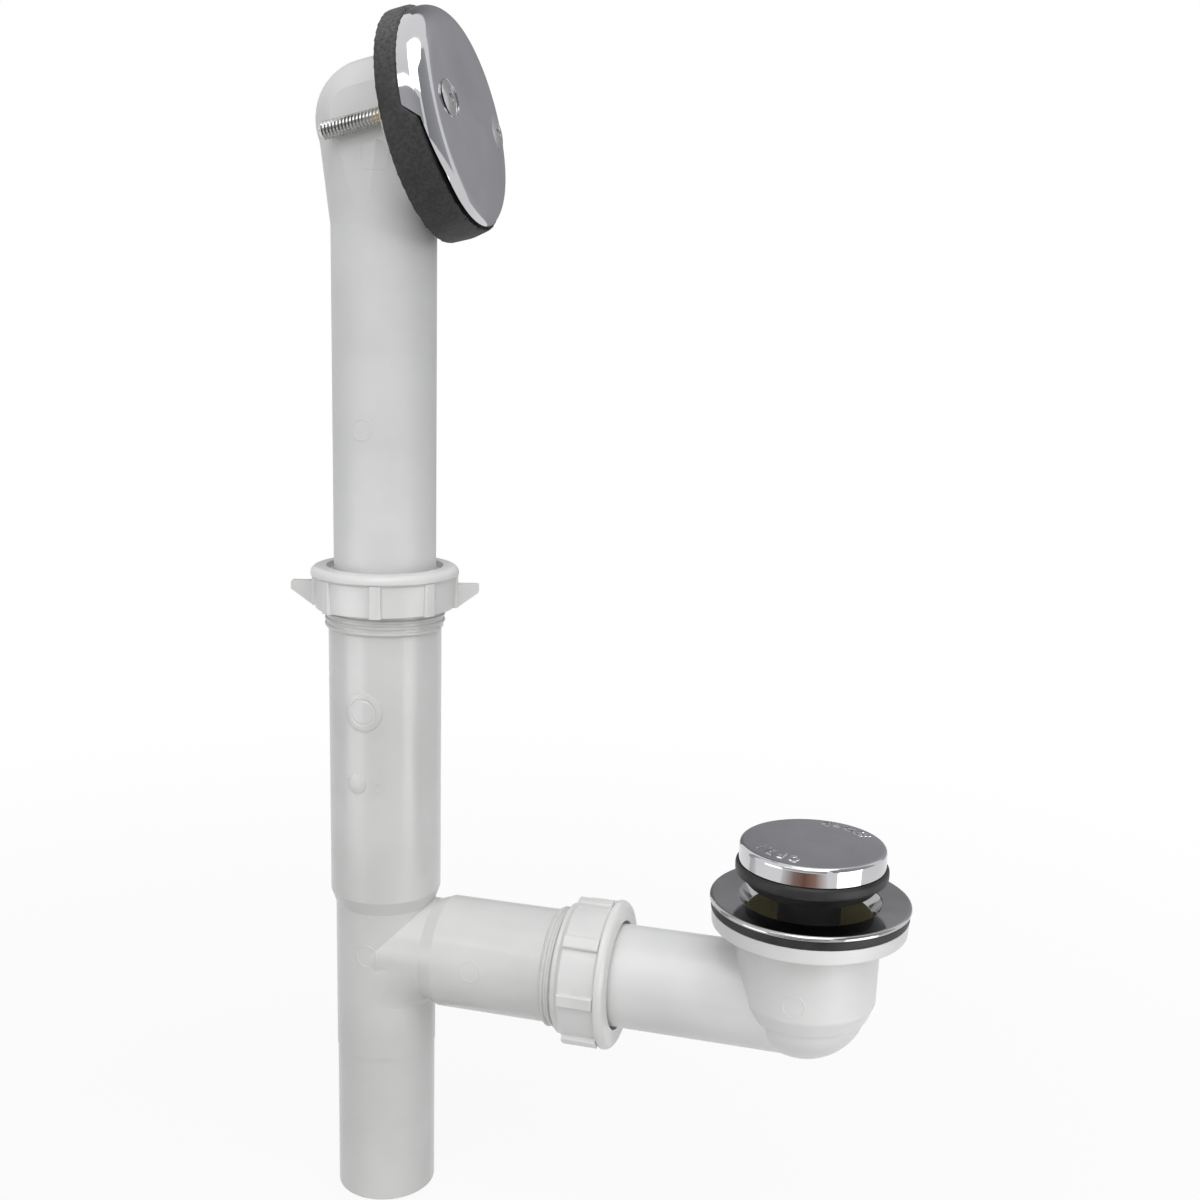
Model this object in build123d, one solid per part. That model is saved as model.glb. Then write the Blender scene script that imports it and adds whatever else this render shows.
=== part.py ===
from build123d import *
import os
from math import atan2, cos, degrees, radians, sin, sqrt

# Bath waste and overflow. Millimetres and degrees.
# The origin is the centre of the tail's open end. +Z runs up the overflow pipe, +X along the branch.

# Pipes and slip joints
TUBE_R = 19.05
TUBE_WALL = 2.0
SLIP_CLEARANCE = 0.3
SOCKET_WALL = 1.85
THREAD_DEPTH = 0.7
THREAD_CLEARANCE = 0.3
WASHER_CLEARANCE = 0.08
RUN_GAP = 0.3
EDGE_ROUND = 0.4
SOFT_ROUND = 0.8
RIM_ROUND = 1.2

# Tee
BRANCH_Z = 101.0
TAIL_LINE_Z = 60.0
TAIL_STEP = 0.25
RUN_STEP_Z = 119.4
STEP_RISE = 5.4
RUN_THREAD_Z = 228.0
RUN_MOUTH_Z = 243.0
BRANCH_STEP_X = 21.4
BRANCH_THREAD_X = 70.0
BRANCH_MOUTH_X = 86.0
CROTCH_R = 3.0
MOUTH_BEVEL = 1.8

# Slip washers and nuts
WASHER_RIM = 3.4
WASHER_LIP = 1.2
NUT_WALL = 3.6
NUT_LIP = 3.0
NUT_SHOULDER_STEP = 1.2
NUT_TAPER = 0.5
SHOULDER_RISE = 1.0
RUN_NUT_COVER = 7.0
RUN_NUT_PLAY = 2.75
RUN_NUT_RIM = 2.4
RUN_NUT_ROUND = 2.9
RUN_SHOULDER = 3.8
RUN_RIB_RISE = 0.9
RUN_RIB_WIDTH = 4.4
RUN_RIB_COUNT = 8
RUN_RIB_TURN = -74.0
WING_TURN = 90.0
WING_REACH = 8.8
WING_T = 3.2
WING_TIP = 3.2
WING_TOP_DROP = 6.6
BRANCH_NUT_COVER = 10.5
BRANCH_NUT_PLAY = 1.25
BRANCH_NUT_RIM = 3.6
BRANCH_NUT_ROUND = 2.6
BRANCH_COLLAR = 1.5
COLLAR_STEP = 2.1
COLLAR_RISE = 2.0
BRANCH_RIB_RISE = 1.9
BRANCH_RIB_WIDTH = 5.0
BRANCH_RIB_COUNT = 8
BRANCH_RIB_INSET = 3.8

# Overflow pipe and elbow head
OVERFLOW_FOOT_Z = 150.0
NECK_Z = 375.0
DOME_R = 21.5
DOME_X = -2.6
DOME_Z = 411.2
NECK_TUCK = 0.5
SHANK_ROOM = 0.875
HEAD_TURN = 1.5
AXIS_Z = 405.3
FACE_TILT = 12.6
FACE_N = 15.3
FLANGE_LAND = 1.15
FLANGE_T = 4.0

# Overflow gasket, plate and screws
GASKET_R = 40.3
GASKET_T = 8.0
GASKET_LAND = 1.325
SWELL_STEP = 4.6
SWELL_H = 7.4
SWELL_TAPER = 1.5
PLATE_R = 39.1
PLATE_H = 12.9
PLATE_CROWN_R = 200.0
PLATE_ROUND = 7.6
PLATE_T = 1.2
PLATE_TURN = 6.6
NOTCH_H = 7.5
NOTCH_STEP = 5.4
NOTCH_START = 3.8
NOTCH_RAMP = 4.8
NOTCH_EASE = 17.0
WATER_SLOT = 2.0
SCREW_R = 3.175
SCREW_SPACING = 46.7
SCREW_LENGTH = 48.0
SCREW_HEAD_R = 6.2
SCREW_HEAD_H = 3.2
SCREW_CROWN = 1.2
CROWN_SHARE = 0.75
CROSS_WIDTH = 1.3
CROSS_DEPTH = 1.6
SCREW_CLEARANCE = 0.35
INSERT_R = 4.8

# Waste shoe and drain
DRAIN_X = 165.6
SHOE_FOOT_X = 62.0
CUP_WALL = 1.9
CUP_DRAFT = 0.6
CUP_CORNER_Z = 104.5
CUP_LINE_Z = 99.0
CUP_LINE_STEP = 0.9
CUP_ROUND = 4.0
BOWL_INSET = 3.8
BOWL_DROP = 0.4
BOWL_SKIRT = 0.17428
BOWL_ROUND = 15.0
BOWL_TUCK = 2.0
BOWL_WALL = 2.1
SHOE_RISE = 35.8
SHOE_FLANGE_LIP = 9.4
SHOE_FLANGE_T = 5.6
FLANGE_DRAFT = 0.3
SHOE_GASKET_PROUD = 0.2
SHOE_GASKET_T = 3.4
BARREL_R = 23.8
BARREL_WALL = 1.5
BARREL_DEPTH = 21.2
STRAINER_LIP = 0.8
STRAINER_FLANGE_T = 1.8
FLANGE_DISH = 0.3
FLARE = 3.4
SEAT_SPREAD = 3.3
SEAT_DEPTH = 5.2
BAR_COUNT = 4
BAR_TURN = 45.0
BAR_WIDTH = 4.0
BAR_H = 4.0
BOSS_R = 7.0
BOSS_H = 8.5

# Stopper
LIFT = 8.0
CAP_TURN = 120.0
STOPPER_GAP = 4.8
SEAL_H = 8.4
SEAL_BULGE = 1.8
SEAL_TAPER = 2.8
SEAL_LIP_H = 3.4
SEAL_STEP = 1.0
CAP_INSET = 1.1
CAP_SKIRT = 6.7
CAP_CROWN = 1.8
CAP_WALL = 1.2
CAP_TOP = 1.5
CAP_ROUND = 1.8
POST_R = 5.2
POST_FLAT = 4.2
POST_FLANGE_R = 6.5
POST_FLANGE_T = 2.0
POST_THREAD_R = 4.75
POST_FIT = 0.15
PIN_R = 1.5
PIN_FIT = 0.02
HUB_WALL = 3.2
HUB_FIT = 0.2
HUB_FLANGE_R = 12.0
HUB_FLANGE_T = 2.7
CLIP_T = 1.2
CLIP_R = 9.9
CLIP_GROOVE = 0.6
CLIP_GAP = 60.0
SLEEVE_R = 11.3
SLEEVE_WALL = 1.0
SLEEVE_NECK_R = 13.0
SLEEVE_WEB = 3.0
SLEEVE_SKIRT = 1.0
SKIRT_ROOM = 2.0
KEY_OVERRUN = 1.5
CLIP_ROOM = 4.3
CLIP_LEDGE = 1.1
SEAL_PLATE_T = 3.0
SEAL_PLATE_RISE = 2.2

# Sizes that follow
tube_bore = TUBE_R - TUBE_WALL
socket_bore = TUBE_R + SLIP_CLEARANCE
socket_r = socket_bore + SOCKET_WALL
run_r = TUBE_R + TAIL_STEP
thread_core = socket_r + THREAD_DEPTH
nut_bore = thread_core + THREAD_DEPTH + THREAD_CLEARANCE
nut_r = nut_bore + NUT_WALL
collar_r = nut_r - COLLAR_STEP
nut_shoulder_r = nut_r + NUT_SHOULDER_STEP
run_hole_r = TUBE_R + RUN_NUT_PLAY
run_rib_r = nut_r + RUN_RIB_RISE
wing_r = nut_r + WING_REACH
branch_hole_r = TUBE_R + BRANCH_NUT_PLAY
branch_rib_r = nut_r + BRANCH_RIB_RISE
washer_bore = TUBE_R + WASHER_CLEARANCE
lip_r = TUBE_R + SLIP_CLEARANCE + 2 * RUN_GAP
washer_r = nut_bore - RUN_GAP

screw_x = SCREW_SPACING / 2
head_side = screw_x - SCREW_R - SHANK_ROOM
flange_r = screw_x + INSERT_R + FLANGE_LAND
gasket_hole_r = screw_x - SCREW_R - SCREW_CLEARANCE - GASKET_LAND

shoe_top_z = BRANCH_Z + SHOE_RISE
flange_under_z = shoe_top_z + SHOE_GASKET_T
flange_top_z = flange_under_z + STRAINER_FLANGE_T
barrel_foot_z = flange_under_z - BARREL_DEPTH
bars_top_z = barrel_foot_z + BAR_H
barrel_bore = BARREL_R - BARREL_WALL
flare_r = BARREL_R + FLARE
seat_r = barrel_bore + SEAT_SPREAD
cup_bore = BARREL_R + THREAD_CLEARANCE
cup_r = cup_bore + CUP_WALL
bowl_r = cup_r - BOWL_INSET
bowl_h = TUBE_R + BOWL_DROP
round_x = bowl_r - BOWL_ROUND
round_h = bowl_h - BOWL_SKIRT
bowl_crown_r = (round_x**2 + round_h**2 - BOWL_ROUND**2) / (2 * (round_h - BOWL_ROUND))
shoe_flange_r = cup_r + SHOE_FLANGE_LIP
strainer_flange_r = shoe_flange_r + STRAINER_LIP

seal_r = seat_r + SEAL_BULGE
seal_foot_r = seat_r - SEAL_TAPER
seal_plate_r = seal_foot_r - RUN_GAP
cap_r = seal_r - CAP_INSET
seal_foot_z = flange_top_z + STOPPER_GAP
seal_top_z = seal_foot_z + SEAL_H
cap_rim_z = seal_top_z + RUN_GAP
cap_edge_z = cap_rim_z + CAP_SKIRT
cap_ceiling_z = cap_edge_z - CAP_TOP

sleeve_foot_z = bars_top_z + POST_FLANGE_T + LIFT
web_z = sleeve_foot_z + SLEEVE_SKIRT
web_top_z = web_z + SLEEVE_WEB
sleeve_top_z = cap_ceiling_z - HUB_FLANGE_T - RUN_GAP
seal_plate_z = seal_foot_z + SEAL_PLATE_RISE
hub_bore = POST_R + HUB_FIT
hub_r = hub_bore + HUB_WALL
hub_foot_z = web_top_z + CLIP_ROOM
clip_z = hub_foot_z + CLIP_LEDGE
sleeve_shoulder_z = clip_z + CLIP_T + RUN_GAP
pin_z = sleeve_shoulder_z + PIN_R
post_top_z = pin_z + 2 * PIN_R + POST_FIT

# Frame of the overflow face: local Z looks out of the plate, local X is the part's +Y
face_out = (cos(radians(FACE_TILT)), 0, sin(radians(FACE_TILT)))
head_turn = Rot(0, 0, HEAD_TURN)
face = head_turn * Plane(origin=(0, 0, AXIS_Z), x_dir=(0, 1, 0), z_dir=face_out).location
rim_n = FACE_N + GASKET_T
plate_frame = face * Pos(0, 0, rim_n) * Rot(0, 0, -PLATE_TURN)
along_branch = Pos(0, 0, BRANCH_Z) * Rot(0, 90, 0)
drain = Pos(DRAIN_X, 0, 0)
FAR = 60.0

screw_seat_z = PLATE_H - PLATE_CROWN_R + sqrt(PLATE_CROWN_R**2 - screw_x**2)


def turned(corners, rounds=()):
    """Solid turned about Z from (radius, height) corners; rounds holds (corner, radius) pairs."""
    outline = make_face(Polyline(*corners, close=True))
    for corner, radius in rounds:
        point = outline.vertices().sort_by_distance((*corners[corner], 0))[0]
        outline = fillet(point, radius)
    return revolve(Plane.XZ * outline, Axis.Z)


def rod(radius, low, high):
    """Cylinder about Z between two heights."""
    return Pos(0, 0, (low + high) / 2) * Cylinder(radius, high - low)


def tube_ring(inner, outer, low, high):
    """Plain ring about Z between two heights."""
    return turned([(inner, low), (outer, low), (outer, high), (inner, high)])


def crowned(radius, base, height, crown_r, corner_r, shrink):
    """Form about Z with a straight wall, a corner round and a crown, drawn in by shrink."""
    centre_z = height - crown_r
    corner_x = radius - corner_r
    corner_z = centre_z + sqrt((crown_r - corner_r) ** 2 - corner_x**2)
    corner_end = degrees(atan2(corner_z - centre_z, corner_x))
    wall = radius - shrink
    outline = make_face([
        Line((0, base), (wall, base)),
        Line((wall, base), (wall, corner_z)),
        CenterArc((corner_x, corner_z), corner_r - shrink, 0, corner_end),
        CenterArc((0, centre_z), crown_r - shrink, corner_end, 90 - corner_end),
        Line((0, height - shrink), (0, base)),
    ])
    return revolve(Plane.XZ * outline, Axis.Z)


def ring_of(piece, count, turn=0.0):
    """The same piece repeated evenly about Z."""
    return [Rot(0, 0, turn + i * 360 / count) * piece for i in range(count)]


def socket_arm(step, thread, mouth, small_r, small_bore):
    """One outlet of the tee: plain neck, cone, socket and thread core, with its bore, along Z."""
    outer = turned([
        (0, 0),
        (small_r, 0),
        (small_r, step),
        (socket_r, step + STEP_RISE),
        (socket_r, thread),
        (thread_core, thread + THREAD_DEPTH),
        (thread_core, mouth),
        (0, mouth),
    ])
    bore = turned([
        (0, 0),
        (small_bore, 0),
        (small_bore, step + STEP_RISE - TUBE_WALL),
        (socket_bore, step + STEP_RISE),
        (socket_bore, mouth - MOUTH_BEVEL),
        (socket_bore + MOUTH_BEVEL, mouth),
        (0, mouth),
    ])
    return outer, bore


# Tee: plain tail, run socket and branch socket moulded as one, with a swept crotch under the branch
def make_tee():
    run, run_bore = socket_arm(RUN_STEP_Z, RUN_THREAD_Z, RUN_MOUTH_Z, run_r, tube_bore)
    branch, branch_bore = socket_arm(BRANCH_STEP_X, BRANCH_THREAD_X, BRANCH_MOUTH_X, run_r, tube_bore)
    bend = run_r + CROTCH_R
    crotch_r = run_r - TAIL_STEP / 2
    start = Plane(origin=(bend, 0, BRANCH_Z), x_dir=(0, 1, 0), z_dir=(1, 0, 0))
    pivot = Axis((bend, 0, BRANCH_Z - bend), (0, -1, 0))
    crotch = revolve(start * Circle(crotch_r), pivot, 90)
    spigot = turned([(TUBE_R, 0), (run_r, 0), (run_r, TAIL_LINE_Z), (TUBE_R, TAIL_LINE_Z)])
    body = run + along_branch * branch + crotch
    return body - spigot - run_bore - along_branch * branch_bore


def slip_washer(mouth):
    """Bevelled washer that seats in a socket mouth and seals on the tube, along Z."""
    return turned([
        (washer_bore, mouth - WASHER_LIP),
        (washer_bore + WASHER_LIP / 2, mouth - WASHER_LIP),
        (socket_bore + MOUTH_BEVEL - RUN_GAP, mouth),
        (washer_r, mouth + RUN_GAP),
        (washer_r, mouth + WASHER_RIM),
        (washer_bore, mouth + WASHER_RIM),
    ])


def nut_bores(foot, mouth, hole_r, top):
    """Thread bore, lip over the washer and open recess of a slip nut, along Z."""
    lip_z = mouth + WASHER_RIM
    return turned([
        (0, foot),
        (nut_bore, foot),
        (nut_bore, lip_z),
        (lip_r, lip_z),
        (lip_r, lip_z + NUT_LIP),
        (hole_r, lip_z + NUT_LIP),
        (hole_r, top),
        (0, top),
    ])


# Winged slip nut on the run: tapered ribbed skirt, round shoulder and two thumb wings
def make_run_nut():
    foot = RUN_MOUTH_Z - RUN_NUT_COVER
    lip_top = RUN_MOUTH_Z + WASHER_RIM + NUT_LIP
    top = lip_top + RUN_NUT_RIM
    shoulder_z = top - RUN_SHOULDER
    body = turned(
        [
            (0, foot),
            (nut_r - NUT_TAPER, foot),
            (nut_r, shoulder_z - SHOULDER_RISE / 2),
            (nut_shoulder_r, shoulder_z + SHOULDER_RISE / 2),
            (nut_shoulder_r, top),
            (run_hole_r, top),
            (0, lip_top),
        ],
        rounds=[(1, EDGE_ROUND), (2, EDGE_ROUND), (3, EDGE_ROUND), (4, RUN_NUT_ROUND), (5, RIM_ROUND)],
    )
    rib_h = shoulder_z - foot
    rib = Pos(run_rib_r / 2, 0, foot + rib_h / 2) * Box(run_rib_r, RUN_RIB_WIDTH, rib_h)
    rib = fillet(rib.edges().filter_by(Axis.Z).group_by(Axis.X)[-1], SOFT_ROUND)
    wing_top = top - WING_TOP_DROP
    wing_low = wing_top - WING_TIP
    outline = make_face(Polyline(
        (nut_bore, wing_top),
        (wing_r, wing_top),
        (wing_r, wing_low),
        (nut_shoulder_r, foot + EDGE_ROUND),
        (nut_bore, foot + EDGE_ROUND),
        close=True,
    ))
    wing = extrude(Plane.XZ * outline, WING_T / 2, both=True)
    wing = fillet(wing.edges().filter_by(Axis.Y).group_by(Axis.X)[-1], SOFT_ROUND)
    wings = ring_of(wing, 2, RUN_RIB_TURN + WING_TURN)
    solid = body
    for piece in ring_of(rib, RUN_RIB_COUNT, RUN_RIB_TURN) + wings:
        solid += piece
    return solid - nut_bores(foot, RUN_MOUTH_Z, run_hole_r, top)


# Ribbed slip nut on the branch: collar, sloped shoulder, eight grip ribs and a round rim, made along Z
def make_branch_nut():
    foot = BRANCH_MOUTH_X - BRANCH_NUT_COVER
    lip_top = BRANCH_MOUTH_X + WASHER_RIM + NUT_LIP
    top = lip_top + BRANCH_NUT_RIM
    body = turned(
        [
            (0, foot),
            (collar_r, foot),
            (collar_r, foot + BRANCH_COLLAR),
            (nut_r, foot + BRANCH_COLLAR + COLLAR_RISE),
            (nut_r, lip_top - SHOULDER_RISE / 2),
            (nut_shoulder_r, lip_top + SHOULDER_RISE / 2),
            (nut_shoulder_r, top),
            (branch_hole_r, top),
            (0, top),
        ],
        rounds=[
            (1, EDGE_ROUND),
            (3, SOFT_ROUND),
            (4, EDGE_ROUND),
            (5, EDGE_ROUND),
            (6, BRANCH_NUT_ROUND),
            (7, SOFT_ROUND),
        ],
    )
    rib_h = lip_top - foot - BRANCH_RIB_INSET
    rib = Pos(branch_rib_r / 2, 0, foot + BRANCH_RIB_INSET + rib_h / 2)
    rib = rib * Box(branch_rib_r, BRANCH_RIB_WIDTH, rib_h)
    rib = fillet(rib.edges().filter_by(Axis.Z).group_by(Axis.X)[-1], SOFT_ROUND)
    solid = body
    for piece in ring_of(rib, BRANCH_RIB_COUNT):
        solid += piece
    return solid - nut_bores(foot, BRANCH_MOUTH_X, branch_hole_r, top)


def head_form(shrink):
    """Elbow head: tube flaring into a dome that opens through the face, drawn in by shrink."""
    dome_r = DOME_R - shrink
    reach = FACE_N + flange_r
    outline = make_face([
        CenterArc((0, 0), dome_r, -90, 90),
        Line((dome_r, 0), (dome_r, reach)),
        Line((dome_r, reach), (0, reach)),
        Line((0, reach), (0, -dome_r)),
    ])
    barrel = Pos(DOME_X, 0, DOME_Z) * Rot(0, 90 - FACE_TILT, 0) * revolve(Plane.XZ * outline, Axis.Z)
    foot = Pos(0, 0, NECK_Z) * Circle(TUBE_R - shrink)
    crown = Pos(DOME_X, 0, DOME_Z) * Circle(dome_r - NECK_TUCK)
    side = 2 * (head_side - shrink)
    head = (barrel + loft([foot, crown])) & (Pos(0, 0, DOME_Z) * Box(4 * FAR, side, 4 * FAR))
    return head_turn * head


def at_screws(piece):
    """The piece at both screw places, about the plate's axis."""
    return [plate_frame * Pos(side * screw_x, 0, 0) * piece for side in (-1, 1)]


# Overflow pipe: straight tube, domed elbow head with flat cheeks, and the tilted flange
def make_overflow_tube():
    tube = rod(TUBE_R, OVERFLOW_FOOT_Z, NECK_Z)
    flange = face * rod(flange_r, FACE_N - FLANGE_T, FACE_N)
    solid = tube + head_form(0) + flange
    solid -= face * Pos(0, 0, FACE_N + FAR) * Box(4 * FAR, 4 * FAR, 2 * FAR)
    solid -= rod(tube_bore, OVERFLOW_FOOT_Z, NECK_Z)
    solid -= head_form(TUBE_WALL)
    back_n = FACE_N - rim_n
    for hole in at_screws(rod(INSERT_R, back_n - FLANGE_T, back_n)):
        solid -= hole
    return solid


def plate_form(shrink):
    """Outside form of the plate about Z, standing on its rim, drawn in by shrink."""
    return crowned(PLATE_R, 0, PLATE_H, PLATE_CROWN_R, PLATE_ROUND, shrink)


# Sponge wedge gasket: even under the plate's rim, swelling out through the plate's cut-away below
def make_overflow_gasket():
    low = NOTCH_START + RUN_GAP + SWELL_STEP * NOTCH_RAMP / NOTCH_STEP
    cover = make_face(Polyline(
        (FAR, 0),
        (-NOTCH_START - RUN_GAP, 0),
        (-low, SWELL_STEP),
        (-GASKET_R, SWELL_H),
        (-GASKET_R, FAR),
        (FAR, FAR),
        close=True,
    ))
    solid = turned([
        (gasket_hole_r, -GASKET_T),
        (GASKET_R, -GASKET_T),
        (GASKET_R, 0),
        (GASKET_R - SWELL_TAPER, SWELL_H),
        (gasket_hole_r, SWELL_H),
    ])
    solid -= extrude(Plane.YZ * cover, FAR, both=True)
    solid -= plate_form(-RUN_GAP) & rod(FAR, NOTCH_H - WATER_SLOT, PLATE_H)
    solid = plate_frame * solid
    for hole in at_screws(rod(SCREW_R + SCREW_CLEARANCE, -FAR, FAR)):
        solid -= hole
    return solid


def countersink(grow):
    """Dimple of a screw, a cone sunk from the plate's face with its mouth above, widened by grow."""
    top = SCREW_HEAD_R + SCREW_CLEARANCE + grow
    foot = SCREW_R + SCREW_CLEARANCE + grow
    cone = Pos(0, 0, screw_seat_z - SCREW_HEAD_H / 2) * Cone(foot, top, SCREW_HEAD_H)
    return cone + rod(top, screw_seat_z, PLATE_H)


# Overflow plate: pressed dish with two dimpled screw holes and its lower rim cut away
def make_overflow_plate():
    solid = plate_form(0) - plate_form(PLATE_T)
    holes = [Pos(side * screw_x, 0, 0) for side in (-1, 1)]
    for hole in holes:
        solid += hole * countersink(PLATE_T) & plate_form(0)
    for hole in holes:
        solid -= hole * countersink(0)
        solid -= hole * rod(SCREW_R + SCREW_CLEARANCE, 0, PLATE_H)
    notch = make_face(Polyline(
        (-NOTCH_START, 0),
        (-NOTCH_START - NOTCH_RAMP, NOTCH_STEP),
        (-NOTCH_START - NOTCH_RAMP - NOTCH_EASE, NOTCH_H),
        (-FAR, NOTCH_H),
        (-FAR, 0),
        close=True,
    ))
    solid -= extrude(Plane.YZ * notch, FAR, both=True)
    return plate_frame * solid


# Overflow screws: long machine screws with oval heads and a cross recess
def make_screws():
    seat = screw_seat_z
    shank = turned(
        [
            (0, seat - SCREW_LENGTH),
            (SCREW_R, seat - SCREW_LENGTH),
            (SCREW_R, seat - SCREW_HEAD_H),
            (SCREW_HEAD_R, seat),
            (SCREW_HEAD_R / 2, seat + SCREW_CROWN * CROWN_SHARE),
            (0, seat + SCREW_CROWN),
        ],
        rounds=[(1, EDGE_ROUND)],
    )
    arm = Pos(0, 0, seat + SCREW_CROWN) * Box(SCREW_HEAD_R, CROSS_WIDTH, 2 * CROSS_DEPTH)
    screw = shank - arm - Rot(0, 0, 90) * arm
    return Compound(at_screws(screw))


# Threaded brass inserts, flush in the elbow's flange
def make_inserts():
    back_n = FACE_N - rim_n
    sleeve = rod(INSERT_R - WASHER_CLEARANCE, back_n - FLANGE_T, back_n)
    return Compound(at_screws(sleeve - rod(SCREW_R + WASHER_CLEARANCE, -FAR, FAR)))


def bowl_form(shrink):
    """Round end of the shoe's tube under the cup, hanging about Z, drawn in by shrink."""
    bowl = crowned(bowl_r, -BOWL_TUCK, bowl_h, bowl_crown_r, BOWL_ROUND, shrink)
    return Pos(0, 0, BRANCH_Z) * Rot(180, 0, 0) * bowl


# Waste shoe: tube, cup, rounded bowl and flange moulded as one
def make_shoe():
    under = shoe_top_z - SHOE_FLANGE_T
    cup = turned(
        [
            (0, CUP_LINE_Z),
            (bowl_r + CUP_LINE_STEP, CUP_LINE_Z),
            (cup_r - CUP_DRAFT, CUP_CORNER_Z),
            (cup_r, under),
            (shoe_flange_r - FLANGE_DRAFT, under),
            (shoe_flange_r, shoe_top_z),
            (0, shoe_top_z),
        ],
        rounds=[(2, CUP_ROUND), (3, SOFT_ROUND), (4, SOFT_ROUND)],
    )
    outer = drain * (cup + bowl_form(0)) + along_branch * rod(TUBE_R, SHOE_FOOT_X, DRAIN_X)
    ledge_z = barrel_foot_z - RUN_GAP
    hollow = bowl_form(BOWL_WALL) + rod(bowl_r - BOWL_WALL, BRANCH_Z + BOWL_TUCK, ledge_z)
    hollow += rod(cup_bore, ledge_z, shoe_top_z)
    return outer - drain * hollow - along_branch * rod(tube_bore, SHOE_FOOT_X, DRAIN_X)


# Flat rubber washer between shoe and drain flange
def make_shoe_gasket():
    outer = shoe_flange_r + SHOE_GASKET_PROUD
    return drain * tube_ring(flare_r + RUN_GAP, outer, shoe_top_z, flange_under_z)


# Drain strainer: dished flange, bevelled seat, barrel and cross bars with a tapped boss
def make_strainer():
    shell = turned(
        [
            (barrel_bore, barrel_foot_z),
            (BARREL_R, barrel_foot_z),
            (BARREL_R, shoe_top_z),
            (flare_r, flange_under_z),
            (strainer_flange_r, flange_under_z),
            (strainer_flange_r, flange_top_z),
            (seat_r, flange_top_z - FLANGE_DISH),
            (barrel_bore, flange_top_z - FLANGE_DISH - SEAT_DEPTH),
        ],
        rounds=[(4, EDGE_ROUND), (5, RIM_ROUND), (6, EDGE_ROUND)],
    )
    bar = Pos(barrel_bore / 2, 0, barrel_foot_z + BAR_H / 2)
    bar = bar * Box(barrel_bore + BARREL_WALL, BAR_WIDTH, BAR_H)
    solid = shell + rod(BOSS_R, bars_top_z - BOSS_H, bars_top_z)
    for piece in ring_of(bar, BAR_COUNT, BAR_TURN):
        solid += piece
    return drain * (solid - rod(POST_THREAD_R + POST_FIT, barrel_foot_z - FAR, bars_top_z))


# Stopper post: screwed into the boss, with flats for the sleeve and a cross hole for the pin
def make_post():
    shank_z = bars_top_z + POST_FLANGE_T
    post = rod(POST_THREAD_R, bars_top_z - BOSS_H, bars_top_z)
    post += rod(POST_FLANGE_R, bars_top_z, shank_z)
    post += rod(POST_R, shank_z, post_top_z)
    flats_h = web_top_z + KEY_OVERRUN - shank_z
    flats = Pos(0, 0, shank_z + flats_h / 2) * Box(3 * POST_R, 2 * POST_FLAT, flats_h)
    post -= rod(2 * POST_R, shank_z, shank_z + flats_h) - flats
    hole = Pos(0, 0, pin_z) * Rot(0, 90, 0) * Cylinder(PIN_R + PIN_FIT, 4 * POST_R)
    return drain * (post - hole)


# Cam pin pressed through the post
def make_pin():
    length = 2 * (hub_r - RUN_GAP)
    return drain * Pos(0, 0, pin_z) * Rot(0, 90, 0) * Cylinder(PIN_R, length)


# Sleeve: keyed on the post's flats, carries the seal on its disc and the hub in its neck
def make_sleeve():
    clip_room = SLEEVE_R - SLEEVE_WALL
    neck_bore = hub_r + RUN_GAP
    tube = turned(
        [
            (0, sleeve_foot_z),
            (SLEEVE_R, sleeve_foot_z),
            (SLEEVE_R, seal_plate_z),
            (seal_plate_r, seal_plate_z),
            (seal_plate_r, seal_plate_z + SEAL_PLATE_T),
            (SLEEVE_NECK_R, seal_plate_z + SEAL_PLATE_T),
            (SLEEVE_NECK_R, sleeve_top_z),
            (0, sleeve_top_z),
        ],
        rounds=[(1, EDGE_ROUND), (6, EDGE_ROUND)],
    )
    tube -= rod(clip_room, web_top_z, sleeve_shoulder_z)
    tube -= rod(neck_bore, sleeve_shoulder_z, sleeve_top_z)
    tube -= rod(POST_FLANGE_R + SKIRT_ROOM, sleeve_foot_z, web_z)
    key = rod(POST_R + POST_FIT, web_z, web_top_z)
    key &= Pos(0, 0, web_z) * Box(4 * POST_R, 2 * (POST_FLAT + POST_FIT), 4 * SLEEVE_WEB)
    return drain * (tube - key)


# Rubber seal: thick ring with a tapered lip, gripped round the sleeve's disc
def make_seal():
    bore = SLEEVE_NECK_R + RUN_GAP
    groove_r = seal_plate_r + WASHER_CLEARANCE
    lip_z = seal_foot_z + SEAL_LIP_H
    ring = turned(
        [
            (SLEEVE_R + RUN_GAP, seal_foot_z),
            (seal_foot_r, seal_foot_z),
            (seat_r, lip_z),
            (seal_r, lip_z + SEAL_STEP),
            (seal_r, seal_top_z),
            (bore, seal_top_z),
            (bore, seal_plate_z + SEAL_PLATE_T),
            (groove_r, seal_plate_z + SEAL_PLATE_T),
            (groove_r, seal_plate_z),
            (SLEEVE_R + RUN_GAP, seal_plate_z),
        ],
        rounds=[(1, EDGE_ROUND), (3, SOFT_ROUND), (4, RIM_ROUND)],
    )
    return drain * ring


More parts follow.
